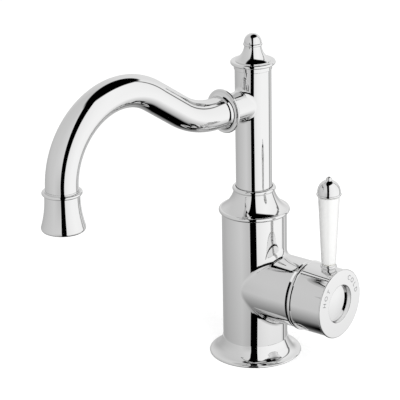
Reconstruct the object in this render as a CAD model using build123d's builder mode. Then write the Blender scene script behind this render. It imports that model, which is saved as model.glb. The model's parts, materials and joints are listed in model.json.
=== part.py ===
from build123d import *
from math import cos, hypot, radians, sin, sqrt
import os

# Basin mixer tap: a column body on a round base, a side handle with an upright
# ceramic lever, and a swan-neck spout that swivels on top of the body.
# Millimetres, +Z up. The origin is the centre of the base's underside. The
# handle's axis runs along +X, and the spout points along -Y, turned a little.

os.makedirs("parts", exist_ok=True)

# Gaps between pieces
turning_gap = 0.05       # radial, for pieces that turn or slide on each other
seated_gap = 0.05        # radial, for pieces that are screwed or pushed together
passing_gap = 0.4        # between pieces that pass each other without touching
face_gap = 0.05          # between flat faces that slide on each other

# Base
base_overhang = 9.9      # from the body's side to the rim
base_height = 12.4
base_rim_height = 0.7    # height of the widest point of the rim
base_rim_top = 1.6
base_rim_round = 0.8
base_foot_inset = 0.4
base_bend_out = 4.9      # the flare is steep above this bend and flat below it
base_bend_height = 3.6
base_lip = 0.4
steep_flare_bow = 0.4
flat_flare_bow = 0.9
seal_inset = 0.4         # seal's inner edge inside the body's side
seal_width = 5.8
seal_thickness = 1.4

# Body
body_radius = 23.3
body_top = 108.3
body_step = 3.0          # the body narrows by this into the base and the shoulder
body_foot = 1.0
thread_length = 4.0

# Waterways in the body
hose_spacing = 18.0
hose_x = 2.0
hose_thread_radius = 4.5
hose_thread_length = 14.0
hose_bore = 4.0
stud_x = -13.0
stud_thread_radius = 3.4
stud_thread_length = 18.0
outlet_way_x = -6.0
outlet_way_radius = 4.0

# Swivel
column_radius = 12.87
column_wall = 1.67
spigot_step = 1.67       # the column narrows by this below its thrust face
spigot_wall = 3.0
spigot_length = 15.5
washer_thickness = 1.2
swivel_depth = 14.0      # from the top of the body's thread down to the thrust seat
bush_wall = 1.63
bush_length = 8.8
ring_groove_depth = 0.87
ring_width = 1.4
ring_split = 6.0
o_ring_section = 1.75
o_ring_spacing = 5.5
static_ring_section = 1.55
ring_seat = 0.02         # radial, between a rubber ring and the floor of its groove
ring_squeeze = 0.25      # how much shallower a groove on the spigot is than its rubber ring
ring_groove_play = 0.4   # how much wider a groove is than its ring
first_ring_height = 4.0  # lower rubber ring, above the spigot's end
ring_rise = 1.8          # retaining ring, above the thrust face
ring_groove_lift = 0.05  # the retaining ring lies this far above its groove's floor
bore_step = 2.0          # the column's bore widens this far above the retaining ring
groove_runout = 1.0      # cuts for grooves reach this far outside the surface
socket_gap = 0.3         # radial, round the spigot
socket_clearance = 1.0   # below the spigot

# Shoulder and neck ring
shoulder_overhang = 2.05
shoulder_rim_height = 2.8
shoulder_height = 16.1
shoulder_neck_wall = 1.59
shoulder_bow = 1.57
shoulder_rim_low = 0.8    # how far the rim's round side draws in at its foot
shoulder_rim_high = 1.0   # and at its head
shoulder_cone_step = 0.32 # the cone starts this far outside the body's side
neck_ring_height = 3.0
neck_ring_bulge = 1.0
neck_ring_flare = 0.1    # the bead is this much wider at its foot and narrower at its head
neck_skirt_length = 3.2
neck_skirt_wall = 0.5

# Tee and column top
tee_height = 190.04
branch_step = 0.8        # the branch is this much thinner than the spout tube
branch_wall = 1.9
tee_fillet = 3.5
tee_ring_radius = 15.6
tee_ring_back = 28.5
tee_ring_thickness = 2.0
tee_throat_radius = 13.6 # hollow-sided collar on the ring, round the tube
tee_throat_length = 2.6
tee_throat_lip = 0.35
tee_throat_bow = 0.55
column_rise = 24.11      # from the branch's axis to the column's top
band_radius = 13.4
band_height = 3.4
band_chamfer = 0.25
flange_radius = 15.8
flange_thickness = 2.5
plug_length = 8.0
finial_foot_radius = 12.4
finial_foot_edge = 0.5
finial_waist_radius = 5.97
finial_flare_height = 10.7
finial_bow = 1.5
finial_bead_radius = 6.75
finial_bead_height = 2.0
finial_dome_radius = 6.1
finial_dome_height = 6.6
finial_spigot_radius = 4.0
finial_spigot_length = 6.0
blind_hole_spare = 0.5   # a blind hole is this much deeper than what goes in it

# Spout, in its upright plane
spout_angle = -97.7      # direction seen from above, from +X
tube_radius = 11.0
tube_wall = 1.6
tube_lead = 7.2
rise_radius = 60.46
rise_angle = 34.4
rise_length = 29.4
crook_radius = 51.89
tube_drop = 4.5          # straight end below the crook, inside the outlet
nipple_wall = 1.8
nipple_back = 9.0
nipple_end_gap = 0.7     # from its end to where the tube starts to bend

# Outlet
outlet_drop = 1.5        # from the end of the crook to the outlet's top
outlet_length = 27.4
outlet_collar_radius = 13.45
outlet_collar_drop = 1.9
outlet_collar_half = 1.0
outlet_top_wall = 0.6
outlet_neck_wall = 0.74
outlet_neck_drop = 4.2
outlet_rim_radius = 14.65
outlet_rim_height = 2.3
outlet_rim_inset = 0.4   # the lip draws in by this at its foot
outlet_rim_bow = 0.3
outlet_bow = 0.8         # how far the bell's side is hollowed
aerator_radius = 11.0
aerator_recess = 0.8
aerator_length = 10.0
aerator_wall = 1.2
aerator_floor = 2.0
aerator_washer_height = 1.5
aerator_hole_radius = 0.7
aerator_hole_rings = ((0.0, 1), (0.35, 6), (0.68, 12))  # share of the radius, number of holes

# Handle stub and cartridge, along the handle's axis
handle_height = 54.65
stub_step = 1.05         # the stub is this much wider than the body
stub_taper = 2.3
stub_straight_x = 28.0
stub_end_x = 45.6
stub_end_bevel = 1.6     # along the axis
stub_end_bevel_drop = 0.95
stub_fillet = 5.0
cartridge_radius = 17.5
seat_x = 16.0
cartridge_base_thickness = 3.0
fixed_disc_radius = 14.0
fixed_disc_thickness = 3.5
moving_disc_radius = 12.4
moving_disc_thickness = 3.3
mixing_rim = 1.8         # solid rim round the mixing recess
mixing_margin = 0.3      # the recess reaches this much past the ports
carrier_radius = 12.0
carrier_thickness = 4.3
carrier_floor = 0.5
housing_wall = 2.5
housing_lip = 1.0
housing_lip_width = 3.6
inlet_port_y = 7.5
inlet_port_z = 5.5
inlet_port_radius = 2.8
outlet_port_z = -7.0
outlet_port_radius = 3.2
port_seal_width = 1.3
port_seal_height = 1.0
nut_length = 5.7
nut_radius = 19.0
nut_bore = 12.2
nut_slots = 4
nut_slot_width = 3.0
nut_slot_depth = 1.5
mouth_radius = 20.5

# Moving parts of the cartridge
pivot_x = 34.4
pivot_pin_radius = 1.75
pivot_pin_length = 21.0
pivot_pin_fit = 0.02     # radial, in the rotor
rotor_back_gap = 1.0     # behind the rotor, where its keys reach the carrier
rotor_flange_thickness = 3.7
rotor_neck_radius = 11.0
rotor_neck_end = 43.0
key_y = 9.0
key_width = 2.0
key_length = 10.0
key_reach = 2.6
key_gap = 0.15
stem_width = 7.0
stem_slot_gap = 0.4
stem_back_gap = 1.0      # the square part starts this far inside the rotor
stem_tip_radius = 2.5
stem_neck_radius = 1.6
tip_gap = 0.1
flow_range = 20.0

# Drum, face ring and screw
seam_width = 0.6
drum_bead_height = 0.85
drum_bead_width = 2.3
drum_bead_edge = 0.25    # the bead's edges stand this far outside the mouth
drum_mouth_gap = 0.25    # the drum's mouth is this much wider than the stub
drum_wall = 1.3
drum_front_thickness = 12.5
face_x = 72.5
face_overhang = 0.65
face_thickness = 1.8
face_edge_round = 0.85
recess_radius = 13.7
recess_edge_round = 0.5
recess_depth = 6.0
ring_spigot_wall = 1.3
cap_thickness = 1.4
cap_floor_radius = 8.4   # flat middle of the cap's dish
cap_dish_round = 5.0     # sweep from the floor up to the cap's edge
cap_dish_turn = 75       # degrees that the sweep turns
hub_radius = 8.0
hub_back_x = 48.0
screw_head_radius = 4.2
screw_head_height = 3.0
screw_radius = 2.4
screw_grip = 7.0
screw_gap = 0.2          # round and in front of the screw in the drum
screw_wall = 3.0         # drum's wall under the screw's head

# Lever, measured along its own upright axis from the drum's top
lever_x = 64.4
ferrule_foot_radius = 5.3
ferrule_foot_height = 0.5
ferrule_sink = 1.5       # the foot reaches this far below the drum's top, where the drum trims it
ferrule_waist_radius = 4.6
ferrule_waist_height = 1.1
ferrule_bead_radius = 5.9
ferrule_bead_low = 1.4
ferrule_bead_middle = 2.4
ferrule_bead_high = 3.35
ferrule_bead_foot_step = 0.3  # the bead starts this far outside the waist
ferrule_bead_head_step = 0.4
ferrule_height = 4.0
lever_washer_thickness = 0.6
lever_washer_inset = 0.5
grip_foot_radius = 5.15
grip_top_radius = 7.6
grip_length = 50.0
grip_edge_round = 0.6
grip_bore_gap = 0.2      # radial, round the rod
cap_bead_radius = 8.8
cap_bead_rise = 0.75
cap_bead_half = 0.65
cap_dome_radius = 8.1
cap_dome_height = 9.5
cap_dome_middle = (0.85, 0.58)  # share of the dome's radius and height that its arc passes through
cap_ball_radius = 2.15
cap_ball_neck = 2.1
rod_radius = 3.0
rod_engagement = 7.5

# Worked-out sizes
spigot_radius = body_radius - body_step
thread_top = body_top + thread_length
thrust_seat = thread_top - swivel_depth
column_foot_radius = column_radius - spigot_step
socket_radius = column_foot_radius + socket_gap
swivel_bore = column_radius + turning_gap + bush_wall + seated_gap
column_foot = thrust_seat + washer_thickness - spigot_length
socket_floor = column_foot - socket_clearance
shoulder_top = body_top + shoulder_height
neck_bore = column_radius + passing_gap
column_top = tee_height + column_rise
stub_radius = body_radius + stub_step
drum_radius = stub_radius
drum_back_x = stub_end_x + seam_width
drum_top = handle_height + drum_radius
branch_radius = tube_radius - branch_step
tube_bore = tube_radius - tube_wall
branch_bore = branch_radius - branch_wall
tee_ring_front = tee_ring_back + tee_ring_thickness

handle_axis = Axis((0, 0, handle_height), (1, 0, 0))
handle_plane = Plane(origin=(0, 0, handle_height), x_dir=(1, 0, 0), z_dir=(0, -1, 0))
lever_axis = Axis((lever_x, 0, drum_top), (0, 0, 1))
lever_plane = Plane(origin=(lever_x, 0, drum_top), x_dir=(1, 0, 0), z_dir=(0, -1, 0))

spout_direction = Vector(cos(radians(spout_angle)), sin(radians(spout_angle)), 0)
spout_side = spout_direction.cross(Vector(0, 0, 1))
spout_plane = Plane(origin=(0, 0, tee_height), x_dir=spout_direction, z_dir=spout_side)
branch_axis = Axis((0, 0, tee_height), spout_direction)

rise_start = tee_ring_front + tube_lead
rise_end = rise_start + rise_radius * sin(radians(rise_angle))
crook_start = rise_end + rise_length * cos(radians(rise_angle))
spout_reach = crook_start + crook_radius * (1 + sin(radians(rise_angle)))
crook_start_height = (rise_radius * (1 - cos(radians(rise_angle)))
                      + rise_length * sin(radians(rise_angle)))
crook_end_height = crook_start_height - crook_radius * cos(radians(rise_angle))
outlet_top = tee_height + crook_end_height - outlet_drop
outlet_centre = spout_direction * spout_reach
outlet_axis = Axis((outlet_centre.X, outlet_centre.Y, 0), (0, 0, 1))
outlet_plane = Plane(origin=(outlet_centre.X, outlet_centre.Y, 0), x_dir=spout_direction, z_dir=spout_side)


def across(x):
    """The plane square to the handle's axis at x, with its own x along +Y and its y up."""
    return Plane(origin=(x, 0, handle_height), x_dir=(0, 1, 0), z_dir=(1, 0, 0))


def bowed(start, end, bow):
    """An arc from start to end that bows by this much to the left of its heading."""
    run, rise = end[0] - start[0], end[1] - start[1]
    length = hypot(run, rise)
    middle = ((start[0] + end[0]) / 2 - rise / length * bow, (start[1] + end[1]) / 2 + run / length * bow)
    return ThreePointArc(start, middle, end)


def save(piece, name):
    """Label a finished piece and write its file."""
    piece.part.label = name
    export_step(piece.part, "parts/" + name + ".step")


# Base flange: a bell that flares out to a thin rounded rim, with a groove for the seal
base_top_radius = body_radius + base_lip
base_bend_radius = body_radius + base_bend_out
base_rim_radius = body_radius + base_overhang
seal_inner_radius = body_radius - seal_inset
seal_outer_radius = seal_inner_radius + seal_width
with BuildPart() as base_flange:
    with BuildSketch(Plane.XZ):
        with BuildLine():
            rim_top = (base_rim_radius - base_rim_round, base_rim_top)
            foot = (base_rim_radius - base_foot_inset, 0)
            bend = (base_bend_radius, base_bend_height)
            ThreePointArc(foot, (base_rim_radius, base_rim_height), rim_top)
            bowed(rim_top, bend, flat_flare_bow)
            bowed(bend, (base_top_radius, base_height), steep_flare_bow)
            Polyline(
                (base_top_radius, base_height),
                (spigot_radius + seated_gap, base_height),
                (spigot_radius + seated_gap, 0),
                (seal_inner_radius, 0),
                (seal_inner_radius, seal_thickness),
                (seal_outer_radius, seal_thickness),
                (seal_outer_radius, 0),
                foot,
            )
        make_face()
    revolve(axis=Axis.Z)
save(base_flange, "base_flange")

# Deck seal: a flat rubber ring that fills the groove, flush with the underside
with BuildPart() as deck_seal:
    with BuildSketch(Plane.XY):
        Circle(seal_outer_radius - seated_gap)
        Circle(seal_inner_radius + seated_gap, mode=Mode.SUBTRACT)
    extrude(amount=seal_thickness)
save(deck_seal, "deck_seal")

# Body: the cast column, with the stub for the cartridge and the waterways cut through it
cartridge_front = seat_x + cartridge_base_thickness + fixed_disc_thickness + face_gap
carrier_back = cartridge_front + moving_disc_thickness
carrier_front = carrier_back + carrier_thickness
rotor_back = carrier_front + rotor_back_gap
rotor_flange_front = rotor_back + rotor_flange_thickness
lip_back = rotor_flange_front + passing_gap
housing_front = lip_back + housing_lip
nut_front = housing_front + nut_length
with BuildPart() as body:
    with BuildSketch(Plane.XZ):
        with BuildLine():
            Polyline(
                (0, body_foot),
                (spigot_radius, body_foot),
                (spigot_radius, base_height),
                (body_radius, base_height),
                (body_radius, body_top),
                (spigot_radius, body_top),
                (spigot_radius, thread_top),
                (0, thread_top),
                close=True,
            )
        make_face()
    revolve(axis=Axis.Z)
    with BuildSketch(handle_plane):
        with BuildLine():
            TangentArc((stub_straight_x, stub_radius), (0, stub_radius - stub_taper), tangent=(-1, 0))
            Polyline(
                (0, stub_radius - stub_taper),
                (0, 0),
                (stub_end_x, 0),
                (stub_end_x, stub_radius - stub_end_bevel_drop),
                (stub_end_x - stub_end_bevel, stub_radius),
                (stub_straight_x, stub_radius),
            )
        make_face()
    revolve(axis=handle_axis)
    root_edges = body.edges().filter_by(
        lambda edge: edge.geom_type not in (GeomType.LINE, GeomType.CIRCLE)
        and 0 < edge.center().X <= body_radius and abs(edge.center().Z - handle_height) < body_radius
    )
    fillet(root_edges, stub_fillet)
    # Swivel socket, from the top
    with BuildSketch(Plane.XY.offset(thrust_seat)):
        Circle(swivel_bore)
    extrude(amount=swivel_depth, mode=Mode.SUBTRACT)
    with BuildSketch(Plane.XY.offset(socket_floor)):
        Circle(socket_radius)
    extrude(amount=thrust_seat - socket_floor, mode=Mode.SUBTRACT)
    # Cartridge seat, nut thread and mouth, from the stub's end
    with BuildSketch(across(seat_x)):
        Circle(cartridge_radius + seated_gap)
    extrude(amount=stub_end_x - seat_x, mode=Mode.SUBTRACT)
    with BuildSketch(across(housing_front)):
        Circle(nut_radius + seated_gap)
    extrude(amount=stub_end_x - housing_front, mode=Mode.SUBTRACT)
    with BuildSketch(across(nut_front)):
        Circle(mouth_radius)
    extrude(amount=stub_end_x - nut_front, mode=Mode.SUBTRACT)
    # Hot and cold ways up from the hose threads, then across to the seat
    with BuildSketch(Plane.XY.offset(body_foot)):
        with Locations((hose_x, hose_spacing / 2), (hose_x, -hose_spacing / 2)):
            Circle(hose_bore)
    extrude(amount=handle_height + inlet_port_z + inlet_port_radius - body_foot, mode=Mode.SUBTRACT)
    with BuildSketch(Plane.XY.offset(body_foot)):
        with Locations((hose_x, hose_spacing / 2), (hose_x, -hose_spacing / 2)):
            Circle(hose_thread_radius)
    extrude(amount=hose_thread_length, mode=Mode.SUBTRACT)
    with BuildSketch(across(hose_x)):
        with Locations((inlet_port_y, inlet_port_z), (-inlet_port_y, inlet_port_z)):
            Circle(inlet_port_radius)
    extrude(amount=seat_x - hose_x, mode=Mode.SUBTRACT)
    # Mixed water back from the seat and up to the swivel socket
    with BuildSketch(across(outlet_way_x)):
        with Locations((0, outlet_port_z)):
            Circle(outlet_port_radius)
    extrude(amount=seat_x - outlet_way_x, mode=Mode.SUBTRACT)
    with BuildSketch(Plane.XY.offset(handle_height + outlet_port_z - outlet_port_radius)):
        with Locations((outlet_way_x, 0)):
            Circle(outlet_way_radius)
    extrude(amount=socket_floor - (handle_height + outlet_port_z - outlet_port_radius), mode=Mode.SUBTRACT)
    # Thread for the fixing stud
    with BuildSketch(Plane.XY.offset(body_foot)):
        with Locations((stud_x, 0)):
            Circle(stud_thread_radius)
    extrude(amount=stud_thread_length, mode=Mode.SUBTRACT)
save(body, "body")

# Shoulder: a cover nut with a half-round rim and a hollow-sided cone up to the neck
shoulder_rim_radius = body_radius + shoulder_overhang
skirt_bore = neck_bore + neck_skirt_wall
neck_radius = neck_bore + shoulder_neck_wall - passing_gap
with BuildPart() as shoulder:
    with BuildSketch(Plane.XZ):
        with BuildLine():
            rim_low = (shoulder_rim_radius - shoulder_rim_low, body_top)
            rim_high = (shoulder_rim_radius - shoulder_rim_high, body_top + shoulder_rim_height)
            cone_foot = (body_radius + shoulder_cone_step, body_top + shoulder_rim_height)
            cone_top = (neck_radius, shoulder_top)
            ThreePointArc(rim_low, (shoulder_rim_radius, body_top + shoulder_rim_height / 2), rim_high)
            Line(rim_high, cone_foot)
            bowed(cone_foot, cone_top, shoulder_bow)
            Polyline(
                cone_top,
                (skirt_bore + seated_gap, shoulder_top),
                (skirt_bore + seated_gap, shoulder_top - neck_skirt_length),
                (neck_bore, shoulder_top - neck_skirt_length),
                (neck_bore, thread_top),
                (spigot_radius + seated_gap, thread_top),
                (spigot_radius + seated_gap, body_top),
                rim_low,
            )
        make_face()
    revolve(axis=Axis.Z)
save(shoulder, "shoulder")

# Neck ring: a beaded ring with a thin skirt down inside the shoulder
with BuildPart() as neck_ring:
    with BuildSketch(Plane.XZ):
        with BuildLine():
            bead_low = (neck_radius + neck_ring_flare, shoulder_top)
            bead_high = (neck_radius - neck_ring_flare, shoulder_top + neck_ring_height)
            bead_middle = (neck_radius + neck_ring_bulge, shoulder_top + neck_ring_height / 2)
            ThreePointArc(bead_low, bead_middle, bead_high)
            Polyline(
                bead_high,
                (neck_bore, shoulder_top + neck_ring_height),
                (neck_bore, shoulder_top - neck_skirt_length),
                (skirt_bore, shoulder_top - neck_skirt_length),
                (skirt_bore, shoulder_top),
                bead_low,
            )
        make_face()
    revolve(axis=Axis.Z)
save(neck_ring, "neck_ring")

# Swivel: a plastic bush above the retaining ring, and a washer that carries the column
bush_bottom = thread_top - bush_length - 2 * face_gap
with BuildPart() as swivel_bush:
    with BuildSketch(Plane.XY.offset(bush_bottom)):
        Circle(swivel_bore - seated_gap)
        Circle(column_radius + turning_gap, mode=Mode.SUBTRACT)
    extrude(amount=bush_length)
save(swivel_bush, "swivel_bush")

with BuildPart() as thrust_washer:
    with BuildSketch(Plane.XY.offset(thrust_seat)):
        Circle(swivel_bore - seated_gap)
        Circle(socket_radius, mode=Mode.SUBTRACT)
    extrude(amount=washer_thickness)
save(thrust_washer, "thrust_washer")

# Column: the upright swivel tube, its side branch, and its spigot with two seal grooves
o_ring_groove_radius = column_foot_radius - (o_ring_section - ring_squeeze)
o_ring_groove_width = o_ring_section + ring_groove_play
lower_ring_height = column_foot + first_ring_height
o_ring_heights = (lower_ring_height, lower_ring_height + o_ring_spacing)
ring_low = thrust_seat + washer_thickness + ring_rise
wide_bore_low = ring_low + ring_width + bore_step
ring_groove_radius = column_radius - ring_groove_depth
column_bore = column_radius - column_wall
spigot_bore = column_foot_radius - spigot_wall
with BuildPart() as column:
    with BuildSketch(Plane.XY.offset(column_foot)):
        Circle(column_foot_radius)
    extrude(amount=spigot_length)
    with BuildSketch(Plane.XY.offset(column_foot + spigot_length)):
        Circle(column_radius)
    extrude(amount=column_top - column_foot - spigot_length)
    with BuildSketch(Plane(origin=(0, 0, tee_height), x_dir=(0, 0, 1), z_dir=spout_direction)):
        Circle(branch_radius)
    extrude(amount=tee_ring_back)
    tee_edges = column.edges().filter_by(
        lambda edge: edge.geom_type not in (GeomType.LINE, GeomType.CIRCLE)
    )
    fillet(tee_edges, tee_fillet)
    with BuildSketch(Plane.XY.offset(column_foot)):
        Circle(spigot_bore)
    extrude(amount=column_top - column_foot, mode=Mode.SUBTRACT)
    with BuildSketch(Plane.XY.offset(wide_bore_low)):
        Circle(column_bore)
    extrude(amount=column_top - wide_bore_low, mode=Mode.SUBTRACT)
    with BuildSketch(Plane(origin=(0, 0, tee_height), x_dir=(0, 0, 1), z_dir=spout_direction)):
        Circle(branch_bore)
    extrude(amount=tee_ring_back, mode=Mode.SUBTRACT)
    for height in o_ring_heights:
        with BuildSketch(Plane.XY.offset(height - o_ring_groove_width / 2)):
            Circle(column_foot_radius + groove_runout)
            Circle(o_ring_groove_radius, mode=Mode.SUBTRACT)
        extrude(amount=o_ring_groove_width, mode=Mode.SUBTRACT)
    with BuildSketch(Plane.XY.offset(ring_low)):
        Circle(column_radius + groove_runout)
        Circle(ring_groove_radius, mode=Mode.SUBTRACT)
    extrude(amount=ring_width + 2 * ring_groove_lift, mode=Mode.SUBTRACT)
save(column, "column")

# Column seals: two rubber rings in the spigot's grooves
with BuildPart() as column_o_rings:
    with BuildSketch(Plane.XZ):
        for height in o_ring_heights:
            with Locations((o_ring_groove_radius + ring_seat + o_ring_section / 2, height)):
                Circle(o_ring_section / 2)
    revolve(axis=Axis.Z)
save(column_o_rings, "column_o_rings")

# Retaining ring: split, it snaps into the column's groove under the bush
with BuildPart() as retaining_ring:
    with BuildSketch(Plane.XY.offset(ring_low + ring_groove_lift)):
        Circle(swivel_bore - passing_gap)
        Circle(ring_groove_radius + seated_gap, mode=Mode.SUBTRACT)
        with Locations((0, swivel_bore)):
            Rectangle(ring_split, 2 * (swivel_bore - ring_groove_radius + groove_runout), mode=Mode.SUBTRACT)
    extrude(amount=ring_width)
save(retaining_ring, "retaining_ring")

# Top collar: a band, a thin flange and a plug that screws down into the column
flange_low = column_top + band_height
flange_high = flange_low + flange_thickness
plug_radius = column_bore - seated_gap
collar_groove_height = column_top - plug_length / 2
collar_groove_radius = plug_radius - static_ring_section - 2 * ring_seat
with BuildPart() as top_collar:
    with BuildSketch(Plane.XZ):
        with BuildLine():
            Polyline(
                (0, flange_high),
                (0, column_top - plug_length),
                (plug_radius, column_top - plug_length),
                (plug_radius, collar_groove_height - o_ring_groove_width / 2),
                (collar_groove_radius, collar_groove_height - o_ring_groove_width / 2),
                (collar_groove_radius, collar_groove_height + o_ring_groove_width / 2),
                (plug_radius, collar_groove_height + o_ring_groove_width / 2),
                (plug_radius, column_top),
                (band_radius - band_chamfer, column_top),
                (band_radius, column_top + band_chamfer),
                (band_radius, flange_low),
                (flange_radius - flange_thickness / 3, flange_low),
            )
            flange_edge = (flange_radius - flange_thickness / 3, flange_high)
            ThreePointArc(
                (flange_radius - flange_thickness / 3, flange_low),
                (flange_radius, flange_low + flange_thickness / 2),
                flange_edge,
            )
            Line(flange_edge, (0, flange_high))
        make_face()
    revolve(axis=Axis.Z)
    with BuildSketch(Plane.XY.offset(flange_high)):
        Circle(finial_spigot_radius + seated_gap)
    extrude(amount=-(finial_spigot_length + blind_hole_spare), mode=Mode.SUBTRACT)
save(top_collar, "top_collar")

with BuildPart() as collar_o_ring:
    with BuildSketch(Plane.XZ):
        with Locations((plug_radius - ring_seat - static_ring_section / 2, collar_groove_height)):
            Circle(static_ring_section / 2)
    revolve(axis=Axis.Z)
save(collar_o_ring, "collar_o_ring")

# Finial: a hollow-sided bell, a bead and a dome, on a threaded spigot
waist_height = flange_high + finial_flare_height
bead_top = waist_height + finial_bead_height
finial_top = bead_top + finial_dome_height
finial_dome_ball = (finial_dome_height ** 2 + finial_dome_radius ** 2) / (2 * finial_dome_height)
with BuildPart() as finial:
    with BuildSketch(Plane.XZ):
        with BuildLine():
            flare_foot = (finial_foot_radius, flange_high + finial_foot_edge)
            Polyline((0, flange_high), (finial_foot_radius, flange_high), flare_foot)
            bowed(flare_foot, (finial_waist_radius, waist_height), finial_bow)
            ThreePointArc(
                (finial_waist_radius, waist_height),
                (finial_bead_radius, waist_height + finial_bead_height / 2),
                (finial_waist_radius, bead_top),
            )
            Line((finial_waist_radius, bead_top), (finial_dome_radius, bead_top))
            RadiusArc((finial_dome_radius, bead_top), (0, finial_top), -finial_dome_ball)
            Line((0, finial_top), (0, flange_high))
        make_face()
    revolve(axis=Axis.Z)
    with BuildSketch(Plane.XY.offset(flange_high)):
        Circle(finial_spigot_radius)
    extrude(amount=-finial_spigot_length)
save(finial, "finial")

# Nipple: joins the branch to the spout tube, with a seal in its front part
nipple_length = tee_ring_front + tube_lead - nipple_end_gap
nipple_bore = branch_bore - nipple_wall
nipple_seal_x = tee_ring_front + tube_lead / 2
nipple_groove_radius = tube_bore - seated_gap - static_ring_section - 2 * ring_seat
with BuildPart() as spout_nipple:
    with BuildSketch(spout_plane):
        with BuildLine():
            Polyline(
                (tee_ring_back - nipple_back, nipple_bore),
                (tee_ring_back - nipple_back, branch_bore - seated_gap),
                (tee_ring_front, branch_bore - seated_gap),
                (tee_ring_front, tube_bore - seated_gap),
                (nipple_seal_x - o_ring_groove_width / 2, tube_bore - seated_gap),
                (nipple_seal_x - o_ring_groove_width / 2, nipple_groove_radius),
                (nipple_seal_x + o_ring_groove_width / 2, nipple_groove_radius),
                (nipple_seal_x + o_ring_groove_width / 2, tube_bore - seated_gap),
                (nipple_length, tube_bore - seated_gap),
                (nipple_length, nipple_bore),
                close=True,
            )
        make_face()
    revolve(axis=branch_axis)
save(spout_nipple, "spout_nipple")

with BuildPart() as tube_seal:
    with BuildSketch(spout_plane):
        with Locations((nipple_seal_x, tube_bore - seated_gap - ring_seat - static_ring_section / 2)):
            Circle(static_ring_section / 2)
    revolve(axis=branch_axis)
save(tube_seal, "tube_seal")

# Tee ring: a thin disc with a rounded edge and a hollow-sided throat round the foot of the tube
with BuildPart() as tee_ring:
    with BuildSketch(spout_plane):
        with BuildLine():
            edge_radius = tee_ring_radius - tee_ring_thickness / 3
            throat_bore = tube_radius + seated_gap
            throat_end = tee_ring_front + tee_throat_length
            Polyline(
                (tee_ring_back, edge_radius),
                (tee_ring_back, branch_bore),
                (tee_ring_front, branch_bore),
                (tee_ring_front, throat_bore),
                (throat_end, throat_bore),
                (throat_end, throat_bore + tee_throat_lip),
            )
            throat_lip = (throat_end, throat_bore + tee_throat_lip)
            bowed(throat_lip, (tee_ring_front, tee_throat_radius), tee_throat_bow)
            Line((tee_ring_front, tee_throat_radius), (tee_ring_front, edge_radius))
            ThreePointArc(
                (tee_ring_front, edge_radius),
                (tee_ring_back + tee_ring_thickness / 2, tee_ring_radius),
                (tee_ring_back, edge_radius),
            )
        make_face()
    revolve(axis=branch_axis)
save(tee_ring, "tee_ring")

# Spout tube: up in a gentle arc, straight, then over in the crook and down
tube_end_height = outlet_top - tee_height + outlet_drop - tube_drop
with BuildPart() as spout_tube:
    with BuildLine(spout_plane) as spout_route:
        lead = Line((tee_ring_front, 0), (rise_start, 0))
        rise_arc = JernArc(lead @ 1, lead % 1, rise_radius, rise_angle)
        rise_line = Line(rise_arc @ 1, (crook_start, crook_start_height))
        crook_arc = JernArc(rise_line @ 1, rise_line % 1, crook_radius, -(90 + rise_angle))
        Line(crook_arc @ 1, (spout_reach, tube_end_height))
    with BuildSketch(Plane(
        origin=spout_route.line @ 0, x_dir=(0, 0, 1), z_dir=spout_direction
    )):
        Circle(tube_radius)
        Circle(tube_bore, mode=Mode.SUBTRACT)
    sweep()
save(spout_tube, "spout_tube")

# Outlet: a beaded collar over the tube's end, a neck, and a hollow-sided bell
outlet_bottom = outlet_top - outlet_length
tube_end = tee_height + tube_end_height
aerator_top = outlet_bottom + aerator_recess + aerator_length + aerator_washer_height
with BuildPart() as outlet_bell:
    with BuildSketch(outlet_plane):
        with BuildLine():
            socket_bore = tube_radius + seated_gap
            collar_height = outlet_top - outlet_collar_drop
            collar_low = collar_height - outlet_collar_half
            neck_height = outlet_top - outlet_neck_drop
            neck_outer = socket_bore + outlet_neck_wall
            rim_high = (outlet_rim_radius, outlet_bottom + outlet_rim_height)
            Polyline(
                (tube_bore, tube_end),
                (socket_bore, tube_end),
                (socket_bore, outlet_top),
                (socket_bore + outlet_top_wall, outlet_top),
                (socket_bore + outlet_top_wall, collar_height + outlet_collar_half),
            )
            ThreePointArc(
                (socket_bore + outlet_top_wall, collar_height + outlet_collar_half),
                (outlet_collar_radius, collar_height),
                (neck_outer, collar_low),
            )
            Line((neck_outer, collar_low), (neck_outer, neck_height))
            rim_low = (outlet_rim_radius - outlet_rim_inset, outlet_bottom)
            bowed((neck_outer, neck_height), rim_high, -outlet_bow)
            bowed(rim_high, rim_low, outlet_rim_bow)
            Polyline(
                rim_low,
                (aerator_radius + seated_gap, outlet_bottom),
                (aerator_radius + seated_gap, aerator_top),
                (tube_bore, aerator_top),
                (tube_bore, tube_end),
            )
        make_face()
    revolve(axis=outlet_axis)
save(outlet_bell, "outlet_bell")

# Aerator: a cup screwed into the outlet, a perforated insert and a washer on top
aerator_bottom = outlet_bottom + aerator_recess
with BuildPart() as aerator_housing:
    with BuildSketch(outlet_plane):
        with BuildLine():
            Polyline(
                (aerator_radius, aerator_bottom),
                (aerator_radius, aerator_bottom + aerator_length),
                (aerator_radius - aerator_wall, aerator_bottom + aerator_length),
                (aerator_radius - aerator_wall, aerator_bottom + aerator_floor),
                (aerator_radius - 2 * aerator_wall, aerator_bottom + aerator_floor),
                (aerator_radius - 2 * aerator_wall, aerator_bottom),
                close=True,
            )
        make_face()
    revolve(axis=outlet_axis)
save(aerator_housing, "aerator_housing")

insert_radius = aerator_radius - aerator_wall - seated_gap
with BuildPart() as aerator_insert:
    with BuildSketch(Plane.XY.offset(aerator_bottom + aerator_floor)):
        with Locations((outlet_centre.X, outlet_centre.Y)):
            Circle(insert_radius)
        for ring_share, count in aerator_hole_rings:
            with Locations((outlet_centre.X, outlet_centre.Y)):
                with PolarLocations(insert_radius * ring_share, count):
                    Circle(aerator_hole_radius, mode=Mode.SUBTRACT)
    extrude(amount=aerator_length - aerator_floor)
save(aerator_insert, "aerator_insert")

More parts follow.
